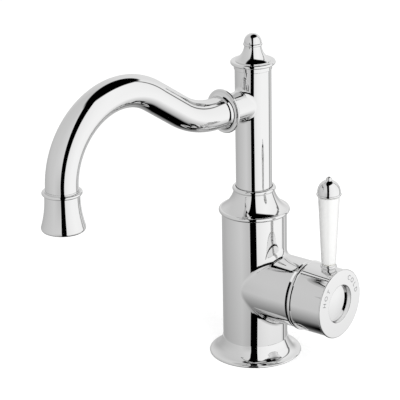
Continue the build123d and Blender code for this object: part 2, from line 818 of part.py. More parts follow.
with BuildPart() as aerator_washer:
    with BuildSketch(Plane.XY.offset(aerator_bottom + aerator_length)):
        with Locations((outlet_centre.X, outlet_centre.Y)):
            Circle(aerator_radius)
            Circle(aerator_radius - 2 * aerator_wall, mode=Mode.SUBTRACT)
    extrude(amount=aerator_washer_height)
save(aerator_washer, "aerator_washer")

# Cartridge base: a disc on the seat, with three ports and a seal groove round each
port_places = ((inlet_port_y, inlet_port_z), (-inlet_port_y, inlet_port_z), (0, outlet_port_z))
port_radii = (inlet_port_radius, inlet_port_radius, outlet_port_radius)
with BuildPart() as cartridge_base:
    with BuildSketch(across(seat_x)):
        Circle(cartridge_radius)
    extrude(amount=cartridge_base_thickness)
    with BuildSketch(across(seat_x)):
        for place, radius in zip(port_places, port_radii):
            with Locations(place):
                Circle(radius)
    extrude(amount=cartridge_base_thickness, mode=Mode.SUBTRACT)
    with BuildSketch(across(seat_x)):
        for place, radius in zip(port_places, port_radii):
            with Locations(place):
                Circle(radius + port_seal_width)
    extrude(amount=port_seal_height, mode=Mode.SUBTRACT)
save(cartridge_base, "cartridge_base")

with BuildPart() as cartridge_seals:
    with BuildSketch(across(seat_x)):
        for place, radius in zip(port_places, port_radii):
            with Locations(place):
                Circle(radius + port_seal_width - seated_gap)
        for place, radius in zip(port_places, port_radii):
            with Locations(place):
                Circle(radius, mode=Mode.SUBTRACT)
    extrude(amount=port_seal_height)
save(cartridge_seals, "cartridge_seals")

# Cartridge housing: a sleeve with a lip that keeps the rotor in
housing_bore = cartridge_radius - housing_wall
fixed_disc_back = seat_x + cartridge_base_thickness
with BuildPart() as cartridge_housing:
    with BuildSketch(across(fixed_disc_back)):
        Circle(cartridge_radius)
        Circle(housing_bore, mode=Mode.SUBTRACT)
    extrude(amount=housing_front - fixed_disc_back)
    with BuildSketch(across(lip_back)):
        Circle(housing_bore)
        Circle(housing_bore - housing_lip_width, mode=Mode.SUBTRACT)
    extrude(amount=housing_lip)
save(cartridge_housing, "cartridge_housing")

# Ceramic discs: the fixed one has the ports, the moving one has the mixing recess
with BuildPart() as fixed_disc:
    with BuildSketch(across(fixed_disc_back)):
        Circle(fixed_disc_radius)
        for place, radius in zip(port_places, port_radii):
            with Locations(place):
                Circle(radius, mode=Mode.SUBTRACT)
    extrude(amount=fixed_disc_thickness)
save(fixed_disc, "fixed_disc")

mixing_top = inlet_port_z - inlet_port_radius - mixing_margin
mixing_bottom = outlet_port_z - outlet_port_radius - mixing_margin
with BuildPart() as moving_disc:
    with BuildSketch(across(cartridge_front)):
        Circle(moving_disc_radius)
    extrude(amount=moving_disc_thickness)
    with BuildSketch(across(cartridge_front)):
        Circle(moving_disc_radius - mixing_rim)
        with Locations((0, mixing_top + moving_disc_radius)):
            Rectangle(2 * moving_disc_radius, 2 * moving_disc_radius, mode=Mode.SUBTRACT)
        with Locations((0, mixing_bottom - moving_disc_radius)):
            Rectangle(2 * moving_disc_radius, 2 * moving_disc_radius, mode=Mode.SUBTRACT)
    extrude(amount=moving_disc_thickness / 2, mode=Mode.SUBTRACT)
save(moving_disc, "moving_disc")

# Disc carrier: holds the moving disc, with a pocket for the stem's tip and two key grooves
with BuildPart() as disc_carrier:
    with BuildSketch(across(carrier_back)):
        Circle(carrier_radius)
    extrude(amount=carrier_thickness)
    with BuildSketch(across(carrier_back + carrier_floor)):
        Rectangle(2 * (stem_tip_radius + 4 * tip_gap), 2 * (stem_tip_radius + tip_gap))
    extrude(amount=carrier_thickness - carrier_floor, mode=Mode.SUBTRACT)
    with BuildSketch(across(carrier_front - key_reach + rotor_back_gap - key_gap)):
        with Locations((key_y, 0), (-key_y, 0)):
            Rectangle(key_width + 2 * key_gap, 2 * carrier_radius)
    extrude(amount=key_reach - rotor_back_gap + key_gap, mode=Mode.SUBTRACT)
save(disc_carrier, "disc_carrier")

# Rotor: turns in the housing, keyed to the carrier, with a slot in which the stem tilts
stem_tip_x = carrier_back + carrier_floor + tip_gap + stem_tip_radius
stem_back_x = rotor_back + stem_back_gap
slot_drop = (rotor_neck_end - pivot_x) * sin(radians(flow_range)) + stem_width / 2 + stem_slot_gap
slot_rise = (pivot_x - rotor_back) * sin(radians(flow_range)) + stem_width / 2 + stem_slot_gap
with BuildPart() as rotor:
    with BuildSketch(across(rotor_back)):
        Circle(housing_bore - turning_gap)
    extrude(amount=rotor_flange_thickness)
    with BuildSketch(across(rotor_flange_front)):
        Circle(rotor_neck_radius)
    extrude(amount=rotor_neck_end - rotor_flange_front)
    with BuildSketch(across(rotor_back - key_reach)):
        with Locations((key_y, 0), (-key_y, 0)):
            Rectangle(key_width, key_length)
    extrude(amount=key_reach)
    with BuildSketch(across(rotor_back)):
        with Locations((0, (slot_rise - slot_drop) / 2)):
            Rectangle(stem_width + 2 * stem_slot_gap, slot_rise + slot_drop)
    extrude(amount=rotor_neck_end - rotor_back, mode=Mode.SUBTRACT)
    with BuildSketch(Plane(origin=(pivot_x, pivot_pin_length / 2, handle_height), z_dir=(0, -1, 0))):
        Circle(pivot_pin_radius + pivot_pin_fit)
    extrude(amount=pivot_pin_length, mode=Mode.SUBTRACT)
save(rotor, "rotor")

with BuildPart() as pivot_pin:
    with BuildSketch(Plane(origin=(pivot_x, pivot_pin_length / 2, handle_height), z_dir=(0, -1, 0))):
        Circle(pivot_pin_radius)
    extrude(amount=pivot_pin_length)
save(pivot_pin, "pivot_pin")

# Cartridge nut: screws into the stub and presses the housing on its seat
with BuildPart() as cartridge_nut:
    with BuildSketch(across(housing_front)):
        Circle(nut_radius)
        Circle(nut_bore, mode=Mode.SUBTRACT)
    extrude(amount=nut_length)
    with BuildSketch(across(nut_front - nut_slot_depth)):
        with PolarLocations((nut_radius + nut_bore) / 2, nut_slots, start_angle=180 / nut_slots):
            Rectangle(nut_radius, nut_slot_width)
        Circle(nut_bore, mode=Mode.SUBTRACT)
    extrude(amount=nut_slot_depth, mode=Mode.SUBTRACT)
save(cartridge_nut, "cartridge_nut")

# Drum: a cup that closes over the stub's end, with a beaded lip, a front wall and a hub
drum_mouth_radius = stub_radius + drum_mouth_gap
drum_bore = drum_radius - drum_wall
front_wall_x = face_x - drum_front_thickness
cap_seat_x = face_x + face_thickness - recess_depth - cap_thickness
screw_seat_x = cap_seat_x - screw_head_height - screw_gap
stem_end_x = screw_seat_x - screw_wall
ring_spigot_radius = recess_radius + ring_spigot_wall
bead_middle_x = drum_back_x + drum_bead_width / 2
bead_edge_radius = drum_mouth_radius + drum_bead_edge
with BuildPart() as handle_drum:
    with BuildSketch(handle_plane):
        with BuildLine():
            Line((drum_back_x, drum_mouth_radius), (drum_back_x, bead_edge_radius))
            ThreePointArc(
                (drum_back_x, bead_edge_radius),
                (bead_middle_x, drum_radius + drum_bead_height),
                (drum_back_x + drum_bead_width, bead_edge_radius),
            )
            Polyline(
                (drum_back_x + drum_bead_width, bead_edge_radius),
                (drum_back_x + drum_bead_width, drum_radius),
                (face_x, drum_radius),
                (face_x, ring_spigot_radius + seated_gap),
                (cap_seat_x, ring_spigot_radius + seated_gap),
                (cap_seat_x, screw_head_radius + screw_gap),
                (screw_seat_x, screw_head_radius + screw_gap),
                (screw_seat_x, screw_radius + screw_gap),
                (hub_back_x, screw_radius + screw_gap),
                (hub_back_x, hub_radius),
                (front_wall_x, hub_radius),
                (front_wall_x, drum_bore),
                (drum_back_x + drum_bead_width + drum_bead_height, drum_bore),
                (drum_back_x, drum_mouth_radius),
            )
        make_face()
    revolve(axis=handle_axis)
    with BuildSketch(across(hub_back_x)):
        Rectangle(stem_width + 2 * seated_gap, stem_width + 2 * seated_gap)
    extrude(amount=stem_end_x - hub_back_x, mode=Mode.SUBTRACT)
    with BuildSketch(Plane.XY.offset(drum_top)):
        with Locations((lever_x, 0)):
            Circle(rod_radius + seated_gap)
    extrude(amount=-(rod_engagement + blind_hole_spare), mode=Mode.SUBTRACT)
save(handle_drum, "handle_drum")

# Stem: square through the rotor and the hub, with a ball tip that moves the carrier
with BuildPart() as stem:
    with BuildSketch(across(stem_back_x)):
        Rectangle(stem_width, stem_width)
    extrude(amount=stem_end_x - stem_back_x)
    with BuildSketch(across(stem_tip_x)):
        Circle(stem_neck_radius)
    extrude(amount=stem_back_x - stem_tip_x)
    with Locations((stem_tip_x, 0, handle_height)):
        Sphere(stem_tip_radius)
    with BuildSketch(Plane(origin=(pivot_x, stem_width, handle_height), z_dir=(0, -1, 0))):
        Circle(pivot_pin_radius + turning_gap)
    extrude(amount=2 * stem_width, mode=Mode.SUBTRACT)
    with BuildSketch(across(stem_end_x)):
        Circle(screw_radius + seated_gap)
    extrude(amount=-(screw_grip + blind_hole_spare), mode=Mode.SUBTRACT)
save(stem, "stem")

# Handle screw: a socket screw through the drum's front wall into the stem
with BuildPart() as handle_screw:
    with BuildSketch(across(screw_seat_x)):
        Circle(screw_head_radius)
    extrude(amount=screw_head_height)
    with BuildSketch(across(screw_seat_x)):
        Circle(screw_radius)
    extrude(amount=-(screw_seat_x - stem_end_x + screw_grip))
    with BuildSketch(across(screw_seat_x + screw_head_height / 3)):
        RegularPolygon(screw_head_radius / 2, 6)
    extrude(amount=screw_head_height, mode=Mode.SUBTRACT)
save(handle_screw, "handle_screw")

# Face ring: a wide disc with a rounded edge and a round recess, on a spigot in the drum
face_radius = drum_radius + face_overhang
face_front_x = face_x + face_thickness
with BuildPart() as face_ring:
    with BuildSketch(handle_plane):
        with BuildLine():
            edge_front = (face_front_x, face_radius - face_edge_round)
            edge_back = (face_x, face_radius - face_edge_round)
            ThreePointArc(edge_front, ((face_front_x + face_x) / 2, face_radius), edge_back)
            Polyline(
                edge_back,
                (face_x, ring_spigot_radius),
                (cap_seat_x, ring_spigot_radius),
                (cap_seat_x, recess_radius),
                (face_front_x - recess_edge_round, recess_radius),
            )
            recess_edge = (face_front_x, recess_radius + recess_edge_round)
            TangentArc((face_front_x - recess_edge_round, recess_radius), recess_edge, tangent=(1, 0))
            Line(recess_edge, edge_front)
        make_face()
    revolve(axis=handle_axis)
save(face_ring, "face_ring")

# Index cap: a dished plug pressed into the recess, over the screw
cap_front_x = cap_seat_x + cap_thickness
cap_radius = recess_radius - seated_gap
cap_edge_x = cap_front_x + cap_dish_round * (1 - cos(radians(cap_dish_turn)))
cap_edge_radius = cap_floor_radius + cap_dish_round * sin(radians(cap_dish_turn))
with BuildPart() as index_cap:
    with BuildSketch(handle_plane):
        with BuildLine():
            dish_foot = (cap_front_x, cap_floor_radius)
            dish_edge = (cap_edge_x, cap_edge_radius)
            TangentArc(dish_foot, dish_edge, tangent=(0, 1))
            Polyline(
                dish_edge,
                (cap_edge_x, cap_radius),
                (cap_seat_x, cap_radius),
                (cap_seat_x, 0),
                (cap_front_x, 0),
                dish_foot,
            )
        make_face()
    revolve(axis=handle_axis)
save(index_cap, "index_cap")

# Lever ferrule: a small turned foot, hollowed to sit on the drum
washer_low = ferrule_height
grip_low = ferrule_height + lever_washer_thickness
grip_high = grip_low + grip_length
cap_low = grip_high + lever_washer_thickness
with BuildPart() as lever_ferrule:
    with BuildSketch(lever_plane):
        with BuildLine():
            foot_side = (ferrule_foot_radius, ferrule_foot_height)
            waist = (ferrule_waist_radius, ferrule_waist_height)
            bead_foot = (ferrule_waist_radius + ferrule_bead_foot_step, ferrule_bead_low)
            bead_head = (ferrule_waist_radius + ferrule_bead_head_step, ferrule_bead_high)
            Polyline(
                (rod_radius + seated_gap, ferrule_height),
                (rod_radius + seated_gap, -ferrule_sink),
                (ferrule_foot_radius, -ferrule_sink),
                foot_side,
                waist,
                bead_foot,
            )
            ThreePointArc(bead_foot, (ferrule_bead_radius, ferrule_bead_middle), bead_head)
            Polyline(
                bead_head,
                (ferrule_waist_radius + ferrule_bead_head_step, ferrule_height),
                (rod_radius + seated_gap, ferrule_height),
            )
        make_face()
    revolve(axis=lever_axis)
    with BuildSketch(across(lever_x - 2 * ferrule_foot_radius)):
        Circle(drum_radius)
    extrude(amount=4 * ferrule_foot_radius, mode=Mode.SUBTRACT)
save(lever_ferrule, "lever_ferrule")

# Grip: a ceramic cone that widens upwards, between two soft washers
with BuildPart() as grip_washer_lower:
    with BuildSketch(Plane.XY.offset(drum_top + washer_low)):
        with Locations((lever_x, 0)):
            Circle(grip_foot_radius - lever_washer_inset)
            Circle(rod_radius + seated_gap, mode=Mode.SUBTRACT)
    extrude(amount=lever_washer_thickness)
save(grip_washer_lower, "grip_washer_lower")

with BuildPart() as lever_grip:
    with BuildSketch(lever_plane):
        with BuildLine():
            Polyline(
                (rod_radius + grip_bore_gap, grip_low),
                (grip_foot_radius, grip_low),
                (grip_top_radius, grip_high),
                (rod_radius + grip_bore_gap, grip_high),
                close=True,
            )
        make_face()
        fillet(vertices().sort_by(Axis.X)[-2:], grip_edge_round)
    revolve(axis=lever_axis)
save(lever_grip, "lever_grip")

with BuildPart() as grip_washer_upper:
    with BuildSketch(Plane.XY.offset(drum_top + grip_high)):
        with Locations((lever_x, 0)):
            Circle(grip_top_radius - lever_washer_inset)
            Circle(rod_radius + seated_gap, mode=Mode.SUBTRACT)
    extrude(amount=lever_washer_thickness)
save(grip_washer_upper, "grip_washer_upper")

# Lever cap: a bead, a dome and a small ball on top, threaded onto the rod
cap_bead_height = cap_low + cap_bead_rise
dome_low = cap_bead_height + cap_bead_half
dome_high = dome_low + cap_dome_height
ball_centre = dome_high + sqrt(cap_ball_radius ** 2 - cap_ball_neck ** 2)
rod_high = dome_low + cap_dome_height / 2
with BuildPart() as lever_cap:
    with BuildSketch(lever_plane):
        with BuildLine():
            bead_foot = (grip_top_radius, cap_bead_height - cap_bead_half)
            Polyline((0, cap_low), (grip_top_radius, cap_low), bead_foot)
            ThreePointArc(bead_foot, (cap_bead_radius, cap_bead_height), (cap_dome_radius, dome_low))
            middle_width, middle_rise = cap_dome_middle
            dome_middle = (cap_dome_radius * middle_width, dome_low + cap_dome_height * middle_rise)
            ThreePointArc((cap_dome_radius, dome_low), dome_middle, (cap_ball_neck, dome_high))
            ThreePointArc(
                (cap_ball_neck, dome_high),
                (cap_ball_radius, ball_centre),
                (0, ball_centre + cap_ball_radius),
            )
            Line((0, ball_centre + cap_ball_radius), (0, cap_low))
        make_face()
    revolve(axis=lever_axis)
    with BuildSketch(Plane.XY.offset(drum_top + cap_low)):
        with Locations((lever_x, 0)):
            Circle(rod_radius + seated_gap)
    extrude(amount=rod_high - cap_low + blind_hole_spare, mode=Mode.SUBTRACT)
save(lever_cap, "lever_cap")

# Lever rod: a threaded rod from the drum up through the grip into the cap
with BuildPart() as lever_rod:
    with BuildSketch(Plane.XY.offset(drum_top - rod_engagement)):
        with Locations((lever_x, 0)):
            Circle(rod_radius)
    extrude(amount=rod_engagement + rod_high)
save(lever_rod, "lever_rod")
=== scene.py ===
"""The basin mixer tap as it looks: finishes, temperature words, and the light tent it is shot in."""

import json
from math import cos, pi, radians, sin

import bmesh
import bpy
from mathutils import Matrix, Vector

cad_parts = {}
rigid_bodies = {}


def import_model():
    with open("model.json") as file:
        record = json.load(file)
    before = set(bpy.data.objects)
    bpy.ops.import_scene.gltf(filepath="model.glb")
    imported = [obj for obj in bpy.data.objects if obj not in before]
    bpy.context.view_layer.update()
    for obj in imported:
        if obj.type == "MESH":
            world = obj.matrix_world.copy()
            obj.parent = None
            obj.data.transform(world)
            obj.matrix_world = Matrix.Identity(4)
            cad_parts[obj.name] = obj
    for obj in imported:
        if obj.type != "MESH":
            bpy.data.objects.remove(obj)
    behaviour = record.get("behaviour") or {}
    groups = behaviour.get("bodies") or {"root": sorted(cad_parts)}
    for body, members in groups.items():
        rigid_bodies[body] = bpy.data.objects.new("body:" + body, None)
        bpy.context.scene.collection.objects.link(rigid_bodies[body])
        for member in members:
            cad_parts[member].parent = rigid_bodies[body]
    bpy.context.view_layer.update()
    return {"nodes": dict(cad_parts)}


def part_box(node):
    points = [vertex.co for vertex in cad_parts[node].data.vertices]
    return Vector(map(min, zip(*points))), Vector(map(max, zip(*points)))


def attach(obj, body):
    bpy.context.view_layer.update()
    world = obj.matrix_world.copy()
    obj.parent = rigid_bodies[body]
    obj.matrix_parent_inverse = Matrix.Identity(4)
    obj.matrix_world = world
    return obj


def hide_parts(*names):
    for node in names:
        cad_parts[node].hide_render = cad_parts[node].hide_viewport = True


for leftover in list(bpy.data.objects):
    bpy.data.objects.remove(leftover)
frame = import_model()
MM = 0.001  # the maker's drawing is in millimetres, the scene in metres


def srgb(code):
    """A hex sRGB colour as linear RGBA."""
    channels = [int(code[i:i + 2], 16) / 255 for i in (1, 3, 5)]
    return (*(c / 12.92 if c <= 0.04045 else ((c + 0.055) / 1.055) ** 2.4 for c in channels), 1.0)


def add(tree, kind, feeds=None, **settings):
    """Adds a shader node. Feeds are its inputs: a value, an output, or a node for its first output."""
    node = tree.nodes.new("ShaderNode" + kind)
    for name, value in settings.items():
        setattr(node, name, value)
    for socket, value in (feeds or {}).items():
        if isinstance(value, bpy.types.Node):
            value = value.outputs[0]
        if isinstance(value, bpy.types.NodeSocket):
            tree.links.new(value, node.inputs[socket])
        else:
            node.inputs[socket].default_value = value
    return node


def finish_of(name, pattern=None, **constants):
    """A material with one Principled shader: constants on its sockets, and a pattern's outputs linked."""
    material = bpy.data.materials.new(name)
    material.use_nodes = True
    tree = material.node_tree
    shader = tree.nodes["Principled BSDF"]
    for socket, value in constants.items():
        shader.inputs[socket.replace("_", " ")].default_value = value
    if pattern:
        place = add(tree, "TexCoord").outputs["Object"]
        for socket, output in pattern(tree, place).items():
            tree.links.new(output, shader.inputs[socket])
    return material


# Finishes

noise_low, noise_high = 0.3, 0.7  # nearly all of a noise texture lies between these


def plating(tree, place):
    """Bright chromium: buffing haze in patches of 9 mm, and micron waves that bend long reflections."""
    haze = add(tree, "TexNoise", {"Vector": place, "Scale": 1 / (9 * MM), "Detail": 3.0})
    rough = add(tree, "MapRange", {"Value": haze, "From Min": noise_low, "From Max": noise_high,
                                    "To Min": 0.02, "To Max": 0.045})
    wave = add(tree, "TexNoise", {"Vector": place, "Scale": 1 / (16 * MM), "Detail": 1.0})
    ripple = add(tree, "Bump", {"Height": wave, "Distance": 0.003 * MM, "Strength": 0.3})
    return {"Roughness": rough.outputs["Result"], "Normal": ripple.outputs["Normal"]}


def glaze_coat(tree, place):
    """Thick glaze on porcelain: orange peel of about 5 mm that shows only in the highlights."""
    peel = add(tree, "TexNoise", {"Vector": place, "Scale": 1 / (5 * MM), "Detail": 1.0})
    dimples = add(tree, "Bump", {"Height": peel, "Distance": 0.003 * MM, "Strength": 0.4})
    cloud = add(tree, "TexNoise", {"Vector": place, "Scale": 1 / (12 * MM), "Detail": 2.0})
    body = add(tree, "ValToRGB", {"Fac": cloud})
    body.color_ramp.elements[0].color = srgb("#F3F3F2")
    body.color_ramp.elements[1].color = srgb("#F8F8F7")
    return {"Base Color": body.outputs["Color"], "Normal": dimples.outputs["Normal"]}


def etching(tree, place):
    """Laser-etched chromium: matt grey with a grain of 0.3 mm."""
    grit = add(tree, "TexNoise", {"Vector": place, "Scale": 1 / (0.3 * MM)})
    rough = add(tree, "MapRange", {"Value": grit, "From Min": noise_low, "From Max": noise_high,
                                    "To Min": 0.45, "To Max": 0.65})
    return {"Roughness": rough.outputs["Result"]}


def lapping(tree, place):
    """Lapped disc faces: half-matt, with lapping patches of 0.6 mm."""
    patch = add(tree, "TexNoise", {"Vector": place, "Scale": 1 / (0.6 * MM)})
    rough = add(tree, "MapRange", {"Value": patch, "From Min": noise_low, "From Max": noise_high,
                                    "To Min": 0.22, "To Max": 0.36})
    return {"Roughness": rough.outputs["Result"]}


def turning(tree, place):
    """Lathe lines about 0.5 mm apart, drawn coarser than the real feed so that they show."""
    along = add(tree, "Mapping", {"Vector": place, "Scale": (1, 0.06, 0.06)})
    lines = add(tree, "TexNoise", {"Vector": along, "Scale": 1 / (0.5 * MM)})
    rough = add(tree, "MapRange", {"Value": lines, "From Min": noise_low, "From Max": noise_high,
                                    "To Min": 0.2, "To Max": 0.36})
    grooves = add(tree, "Bump", {"Height": lines, "Distance": 0.008 * MM, "Strength": 0.5})
    return {"Roughness": rough.outputs["Result"], "Normal": grooves.outputs["Normal"]}


def rubber_bloom(tree, place):
    """Moulded EPDM: soft black, with a dusty bloom in patches of 2 mm."""
    bloom = add(tree, "TexNoise", {"Vector": place, "Scale": 1 / (2 * MM), "Detail": 4.0})
    dust = add(tree, "ValToRGB", {"Fac": bloom})
    dust.color_ramp.elements[0].color = srgb("#161617")
    dust.color_ramp.elements[1].color = srgb("#262628")
    rough = add(tree, "MapRange", {"Value": bloom, "From Min": noise_low, "From Max": noise_high,
                                    "To Min": 0.55, "To Max": 0.75})
    return {"Base Color": dust.outputs["Color"], "Roughness": rough.outputs["Result"]}


def mould_skin(tree, place):
    """Injection-moulded plastic: satin, with the mould's spark-eroded texture of 0.4 mm."""
    skin = add(tree, "TexNoise", {"Vector": place, "Scale": 1 / (0.4 * MM)})
    rough = add(tree, "MapRange", {"Value": skin, "From Min": noise_low, "From Max": noise_high,
                                    "To Min": 0.38, "To Max": 0.5})
    texture = add(tree, "Bump", {"Height": skin, "Distance": 0.01 * MM, "Strength": 0.4})
    return {"Roughness": rough.outputs["Result"], "Normal": texture.outputs["Normal"]}


etched = finish_of("etched_chromium", etching, Base_Color=srgb("#8E8F91"), Metallic=0.5)
finishes = {
    "polished_chrome": finish_of("polished_chrome", plating, Base_Color=srgb("#E6E6E6"), Metallic=1.0),
    "glazed_ceramic": finish_of("glazed_porcelain", glaze_coat, Roughness=0.3, IOR=1.52, Coat_Weight=1.0,
                                Coat_Roughness=0.03, Coat_IOR=1.52),
    "disc_ceramic": finish_of("lapped_alumina", lapping, Base_Color=srgb("#EDEAE0"), IOR=1.76),
    "brass": finish_of("turned_brass", turning, Base_Color=srgb("#C9A961"), Metallic=1.0),
    "steel": finish_of("turned_stainless_steel", turning, Base_Color=srgb("#B9BABC"), Metallic=1.0),
    "rubber": finish_of("moulded_epdm", rubber_bloom, IOR=1.5),
    "nylon": finish_of("moulded_nylon", mould_skin, Base_Color=srgb("#E2E1DA"), IOR=1.53),
    "aerator_plastic": finish_of("moulded_acetal", mould_skin, Base_Color=srgb("#8C8D90"), IOR=1.48),
}
for node in frame["nodes"].values():
    node.material_slots[0].material = finishes[node.data.materials[0].name]


# Turned pieces whose front is finer than in the solids

ring_low, ring_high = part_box("face_ring")
ring_front = ring_high[0]
handle_height = (ring_low[2] + ring_high[2]) / 2
turning_steps = 192
merge_distance = 0.001 * MM
sharp_angle = radians(40)


def turned_piece(name, node, body, axis, centre, profile):
    """A chromed piece turned from a profile beside an axis, in place of a node."""
    form = bmesh.new()
    corners = [form.verts.new(point) for point in profile]
    edges = [form.edges.new(pair) for pair in zip(corners, corners[1:])]
    bmesh.ops.spin(form, geom=corners + edges, cent=(0, 0, 0), axis=axis, angle=2 * pi,
                   steps=turning_steps, use_merge=True)
    bmesh.ops.remove_doubles(form, verts=form.verts, dist=merge_distance)
    bmesh.ops.recalc_face_normals(form, faces=form.faces)
    bmesh.ops.translate(form, verts=form.verts, vec=centre)
    for face in form.faces:
        face.smooth = True
    mesh = bpy.data.meshes.new(name)
    form.to_mesh(mesh)
    form.free()
    mesh.set_sharp_from_angle(angle=sharp_angle)
    mesh.materials.append(finishes["polished_chrome"])
    piece = bpy.data.objects.new(name, mesh)
    bpy.context.scene.collection.objects.link(piece)
    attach(piece, body)
    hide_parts(node)


def bowed(start, end, bow, steps=14):
    """Points after the start of a shallow curve that bows by this much to the left of its heading."""
    run, rise = end[0] - start[0], end[1] - start[1]
    length = (run * run + rise * rise) ** 0.5
    points = []
    for step in range(1, steps + 1):
        part = step / steps
        off = 4 * bow * part * (1 - part)
        along = (start[0] + run * part, start[1] + rise * part)
        points.append((along[0] - rise / length * off, along[1] + run / length * off))
    return points


# Base flange: steep off the body, then a long flat flare down to the rim, in millimetres out and up
flange_inside, flange_top = 20.35, 12.4
flange_top_out = 23.7
seal_inside, seal_outside, seal_depth = 22.9, 28.7, 1.4
flare_bend = (26.3, 6.0)
flare_end = (32.4, 1.6)
flat_flare_bow, steep_flare_bow = 0.9, 0.4
foot_out = 32.8
rim = [(33.08, 0.3), (33.2, 0.7), (33.08, 1.1), (32.8, 1.42), flare_end]
flange = [(flange_inside, 0), (seal_inside, 0), (seal_inside, seal_depth), (seal_outside, seal_depth),
          (seal_outside, 0), (foot_out, 0)]
flange += rim
flange += bowed(flare_end, flare_bend, flat_flare_bow)
flange += bowed(flare_bend, (flange_top_out, flange_top), steep_flare_bow)
flange += [(flange_inside, flange_top), (flange_inside, 0)]
turned_piece("flared_base", "base_flange", "fixed", (0, 0, 1), (0, 0, 0),
             [(out * MM, 0, high * MM) for out, high in flange])

# Index cap: crowned, with a rounded edge that leaves a fine groove in the recess
cap_low, cap_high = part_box("index_cap")
cap_radius = (cap_high[1] - cap_low[1]) / 2
cap_recess = 3.8 * MM   # from the ring's front back to where the cap's edge starts to round
cap_rounding = 0.8 * MM
cap_crown = 0.7 * MM
edge_steps, crown_steps = 8, 12
cap_edge = ring_front - cap_recess
cap_points = [(cap_low[0], 0, 0), (cap_low[0], 0, cap_radius), (cap_edge, 0, cap_radius)]
for step in range(1, edge_steps + 1):
    angle = radians(90 * step / edge_steps)
    forward = cap_rounding * sin(angle)
    inward = cap_rounding * (1 - cos(angle))
    cap_points.append((cap_edge + forward, 0, cap_radius - inward))
front_radius = cap_radius - cap_rounding
for step in range(1, crown_steps + 1):
    part_out = 1 - step / crown_steps
    crown = cap_crown * (1 - part_out ** 2)
    cap_points.append((cap_edge + cap_rounding + crown, 0, front_radius * part_out))
turned_piece("crowned_cap", "index_cap", "handle", (1, 0, 0), (0, 0, handle_height), cap_points)


# Temperature words, etched round the handle's face ring

word_radius = 19.6 * MM
letter_size = 4.9 * MM
letter_pitch = radians(14.5)
etch_proud = 0.02 * MM
to_front = Matrix(((0, 0, 1), (1, 0, 0), (0, 1, 0))).to_4x4()  # turns the letters' plane to face along +X


def etched_word(name, word, middle):
    """A word round the ring, its tops outward. The middle is its clock angle seen from the front."""
    form = bmesh.new()
    for place, letter in enumerate(word):
        curve = bpy.data.curves.new("letter", "FONT")
        curve.body = letter
        curve.size, curve.align_x, curve.align_y = letter_size, "CENTER", "CENTER"
        holder = bpy.data.objects.new("letter", curve)
        flat = bpy.data.meshes.new_from_object(holder)
        clock = radians(middle) + (place - (len(word) - 1) / 2) * letter_pitch
        up_ring = cos(clock) * word_radius + handle_height
        spot = Vector((ring_front + etch_proud, sin(clock) * word_radius, up_ring))
        flat.transform(Matrix.Translation(spot) @ Matrix.Rotation(-clock, 4, "X") @ to_front)
        form.from_mesh(flat)
        bpy.data.objects.remove(holder)
        bpy.data.curves.remove(curve)
        bpy.data.meshes.remove(flat)
    bmesh.ops.remove_doubles(form, verts=form.verts, dist=merge_distance)
    mesh = bpy.data.meshes.new(name)
    form.to_mesh(mesh)
    form.free()
    mesh.materials.append(etched)
    piece = bpy.data.objects.new(name, mesh)
    bpy.context.scene.collection.objects.link(piece)
    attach(piece, "handle")


etched_word("hot_word", "HOT", -60)
etched_word("cold_word", "COLD", 55)


# Camera at the photograph's angle

heading, tilt, roll = radians(38.36), radians(20.92), radians(-1.07)
right = Vector((cos(heading), sin(heading), 0))
back = Vector((sin(heading) * cos(tilt), -cos(heading) * cos(tilt), sin(tilt)))
up = back.cross(right)
right, up = right * cos(roll) + up * sin(roll), up * cos(roll) - right * sin(roll)
target = Vector((-0.03018, -0.02388, 0.11695))
distance = 1.5331
lens = bpy.data.cameras.new("camera")
lens.sensor_width, lens.lens = 36.0, 194.41
camera = bpy.data.objects.new("camera", lens)
camera.matrix_world = Matrix((right, up, back)).transposed().to_4x4()
camera.location = target + back * distance
bpy.context.scene.collection.objects.link(camera)
bpy.context.scene.camera = camera
bpy.context.scene.view_settings.view_transform = "Standard"


# Studio: a pale table, a soft window, and the cloth tent that the chrome shows

table_lift = 0.46
table_half = 6.0
room_level = 0.6
tent_radius = 0.66
tent_middle = (0, 0, 0.1)
cloth_change = radians(-12), radians(22)           # the low cloth blends into the high cloth between these
gap_middle, gap_half, gap_soft = -0.070, 0.112, 0.012
gap_ends = 0.02
seam_bearing, seam_half, seam_fade, seam_depth = radians(117), radians(2), radians(5), 0.8
opening_x, opening_y = 0.15, 0.12                  # middle of the opening overhead, right and away
opening_turn = radians(50)                         # its long side runs from near left to far right
opening_long, opening_short = 0.66, 0.42           # half of each side, for each metre of height
opening_fade = 0.1
# light of the cloth by degrees of bearing, 0 toward the camera and + to its right, and by degrees of rise
low_levels = [(-180, 0.55), (-153, 0.51), (-132, 0.52), (-110, 0.59), (-80, 0.66), (-49, 0.74),
              (-23, 0.63), (6, 0.98), (24, 1.06), (50, 1.12), (100, 1.12), (112, 1.0), (126, 0.82),
              (145, 0.48), (162, 0.9), (180, 0.6)]
high_levels = [(-180, 0.86), (-150, 0.76), (-120, 0.68), (-60, 0.72), (-20, 0.82), (20, 1.05),
               (60, 1.12), (110, 1.05), (150, 0.9), (180, 0.86)]
# painted shade by degrees of rise: the cloth darkens below the table, standing in for the shaded table
# under the tap seen in the chrome
ground_shade_levels = [(-90, 0.0), (-66, 0.0), (-56, 0.45), (-22, 1.0), (90, 1.0)]


def stage_piece(name, mesh, material):
    mesh.materials.append(material)
    piece = bpy.data.objects.new(name, mesh)
    bpy.context.scene.collection.objects.link(piece)
    return piece


